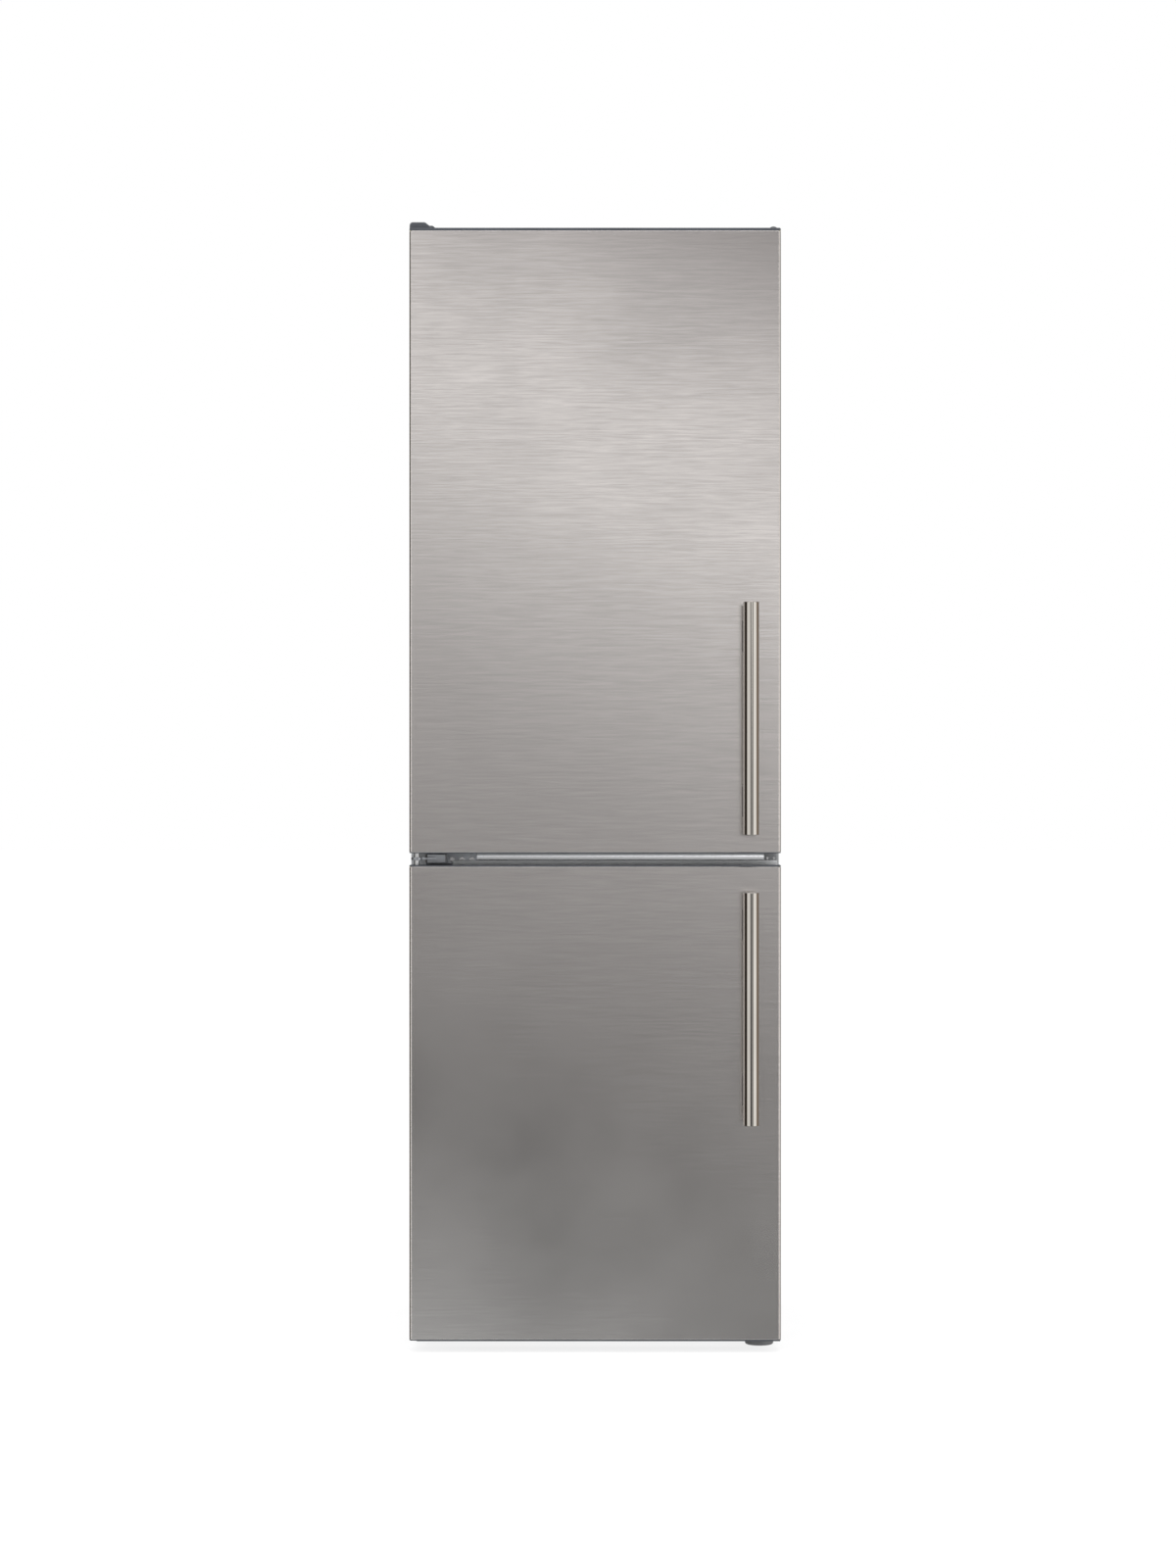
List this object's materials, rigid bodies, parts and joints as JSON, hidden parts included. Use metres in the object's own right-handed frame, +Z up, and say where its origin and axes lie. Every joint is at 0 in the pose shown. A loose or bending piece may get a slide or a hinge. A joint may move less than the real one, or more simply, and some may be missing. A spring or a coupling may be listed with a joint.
{
  "type": "refrigerator",
  "caption": "Free-standing brushed steel refrigerator with a freezer below: two hinged doors with bar handles, shelves, bins and drawers.",
  "frame": {"origin": "on the floor under the centre of the overall box", "axes": "+Z up, the doors face -Y, +X to the right seen from the front; the hinges are at -X"},
  "size_m": [0.595, 0.7124, 1.814],
  "materials": {
    "upper_door_skin": "satin",
    "lower_door_skin": "satin",
    "side_panels": "satin",
    "top_panel": "satin",
    "back_panel": "matte",
    "bottom_panel": "matte",
    "base_frame": "satin",
    "top_hinge_bracket": "satin",
    "middle_hinge_bracket": "satin",
    "bottom_hinge_bracket": "satin",
    "hinge_screws": "satin",
    "mullion_crossbar": "satin",
    "hinge_pins": "satin",
    "upper_handle_bar": "polished",
    "lower_handle_bar": "polished",
    "upper_handle_brackets": "satin",
    "lower_handle_brackets": "satin",
    "upper_door_caps": "satin",
    "lower_door_caps": "satin",
    "mullion_end_cover": "satin",
    "top_hinge_cover": "satin",
    "upper_door_gasket": "matte",
    "lower_door_gasket": "matte",
    "upper_door_liner": "gloss",
    "lower_door_liner": "gloss",
    "fridge_liner": "gloss",
    "freezer_liner": "gloss",
    "control_housing": "gloss",
    "air_duct_cover": "gloss",
    "evaporator_cover": "gloss",
    "shelf_trims": "gloss",
    "temperature_knob": "gloss",
    "light_switch": "gloss",
    "upper_door_insulation": "matte",
    "lower_door_insulation": "matte",
    "cabinet_insulation": "matte",
    "glass_shelves": "gloss",
    "freezer_shelves": "gloss",
    "door_bins": "gloss",
    "bottle_bin": "gloss",
    "crisper_drawer": "gloss",
    "freezer_drawer_top": "gloss",
    "freezer_drawer_middle": "gloss",
    "freezer_drawer_bottom": "gloss",
    "lamp_cover": "gloss",
    "evaporator": "satin",
    "fan_motor": "satin",
    "compressor_relay_box": "satin",
    "mains_inlet": "satin",
    "drip_tray": "satin",
    "condenser_spacers": "satin",
    "freezer_fan": "satin",
    "compressor": "satin",
    "condenser": "satin",
    "compressor_mounts": "matte",
    "filter_drier": "satin",
    "foot_left": "satin",
    "foot_right": "satin",
    "rear_roller_left": "satin",
    "rear_roller_right": "satin"
  },
  "bodies": {
    "cabinet": {"air_duct_cover": "air_duct_cover", "back_panel": "back_panel", "base_frame": "base_frame", "bottom_hinge_bracket": "bottom_hinge_bracket", "bottom_panel": "bottom_panel", "cabinet_insulation": "cabinet_insulation", "compressor": "compressor", "compressor_mounts": "compressor_mounts", "compressor_relay_box": "compressor_relay_box", "condenser": "condenser", "condenser_spacers": "condenser_spacers", "control_housing": "control_housing", "drip_tray": "drip_tray", "evaporator": "evaporator", "evaporator_cover": "evaporator_cover", "fan_motor": "fan_motor", "filter_drier": "filter_drier", "freezer_liner": "freezer_liner", "freezer_shelves": "freezer_shelves", "fridge_liner": "fridge_liner", "glass_shelves": "glass_shelves", "hinge_pins": "hinge_pins", "hinge_screws": "hinge_screws", "lamp_cover": "lamp_cover", "mains_inlet": "mains_inlet", "middle_hinge_bracket": "middle_hinge_bracket", "mullion_crossbar": "mullion_crossbar", "mullion_end_cover": "mullion_end_cover", "shelf_trims": "shelf_trims", "side_panels": "side_panels", "top_hinge_bracket": "top_hinge_bracket", "top_hinge_cover": "top_hinge_cover", "top_panel": "top_panel"},
    "upper_door": {"upper_door_skin": "upper_door_skin", "upper_door_caps": "upper_door_caps", "upper_door_insulation": "upper_door_insulation", "upper_door_liner": "upper_door_liner", "upper_door_gasket": "upper_door_gasket", "upper_handle_bar": "upper_handle_bar", "upper_handle_brackets": "upper_handle_brackets", "door_bins": "door_bins", "bottle_bin": "bottle_bin"},
    "lower_door": {"lower_door_skin": "lower_door_skin", "lower_door_caps": "lower_door_caps", "lower_door_insulation": "lower_door_insulation", "lower_door_liner": "lower_door_liner", "lower_door_gasket": "lower_door_gasket", "lower_handle_bar": "lower_handle_bar", "lower_handle_brackets": "lower_handle_brackets"},
    "crisper": {"crisper_drawer": "crisper_drawer"},
    "drawer_top": {"freezer_drawer_top": "freezer_drawer_top"},
    "drawer_middle": {"freezer_drawer_middle": "freezer_drawer_middle"},
    "drawer_bottom": {"freezer_drawer_bottom": "freezer_drawer_bottom"},
    "switch": {"light_switch": "light_switch"},
    "knob": {"temperature_knob": "temperature_knob"},
    "fan": {"freezer_fan": "freezer_fan"},
    "roller_left": {"rear_roller_left": "rear_roller_left"},
    "roller_right": {"rear_roller_right": "rear_roller_right"},
    "levelling_foot_left": {"foot_left": "foot_left"},
    "levelling_foot_right": {"foot_right": "foot_right"}
  },
  "joints": [
    {"name": "upper_door_hinge", "type": "hinge", "parent": "cabinet", "child": "upper_door", "pos_m": [-0.2865, -0.26775, 1.3], "axis": [0, 0, -1], "range_deg": [0, 120]},
    {"name": "lower_door_hinge", "type": "hinge", "parent": "cabinet", "child": "lower_door", "pos_m": [-0.2865, -0.26775, 0.4], "axis": [0, 0, -1], "range_deg": [0, 120]},
    {"name": "crisper_slide", "type": "slide", "parent": "cabinet", "child": "crisper", "axis": [0, -1, 0], "range_m": [0, 0.25]},
    {"name": "drawer_top_slide", "type": "slide", "parent": "cabinet", "child": "drawer_top", "axis": [0, -1, 0], "range_m": [0, 0.26]},
    {"name": "drawer_middle_slide", "type": "slide", "parent": "cabinet", "child": "drawer_middle", "axis": [0, -1, 0], "range_m": [0, 0.26]},
    {"name": "drawer_bottom_slide", "type": "slide", "parent": "cabinet", "child": "drawer_bottom", "axis": [0, -1, 0], "range_m": [0, 0.18]},
    {"name": "light_switch_slide", "type": "slide", "parent": "cabinet", "child": "switch", "axis": [0, -1, 0], "range_m": [0, 0.006]},
    {"name": "temperature_knob_turn", "type": "hinge", "parent": "cabinet", "child": "knob", "pos_m": [0.095, -0.13415, 1.735], "axis": [0, -1, 0], "range_deg": [0, 270]},
    {"name": "freezer_fan_spin", "type": "hinge", "parent": "cabinet", "child": "fan", "pos_m": [0, 0.22025, 0.655], "axis": [0, -1, 0], "continuous": true},
    {"name": "rear_roller_left_spin", "type": "hinge", "parent": "cabinet", "child": "roller_left", "pos_m": [-0.2667, 0.26125, 0.017], "axis": [1, 0, 0], "continuous": true},
    {"name": "rear_roller_right_spin", "type": "hinge", "parent": "cabinet", "child": "roller_right", "pos_m": [0.2667, 0.26125, 0.017], "axis": [1, 0, 0], "continuous": true},
    {"name": "foot_left_turn", "type": "hinge", "parent": "cabinet", "child": "levelling_foot_left", "pos_m": [-0.2667, -0.13375, 0.005], "axis": [0, 0, 1], "range_deg": [-360, 360]},
    {"name": "foot_right_turn", "type": "hinge", "parent": "cabinet", "child": "levelling_foot_right", "pos_m": [0.2667, -0.19775, 0.005], "axis": [0, 0, 1], "range_deg": [-360, 360]}
  ],
  "couplings": [
    {"joint": "crisper_slide", "follows": "upper_door_hinge", "m_per_rad": 0.11},
    {"joint": "light_switch_slide", "follows": "upper_door_hinge", "m_per_rad": 0.0024},
    {"joint": "drawer_top_slide", "follows": "lower_door_hinge", "m_per_rad": 0.075},
    {"joint": "drawer_middle_slide", "follows": "lower_door_hinge", "m_per_rad": 0.075},
    {"joint": "drawer_bottom_slide", "follows": "lower_door_hinge", "m_per_rad": 0.075}
  ]
}
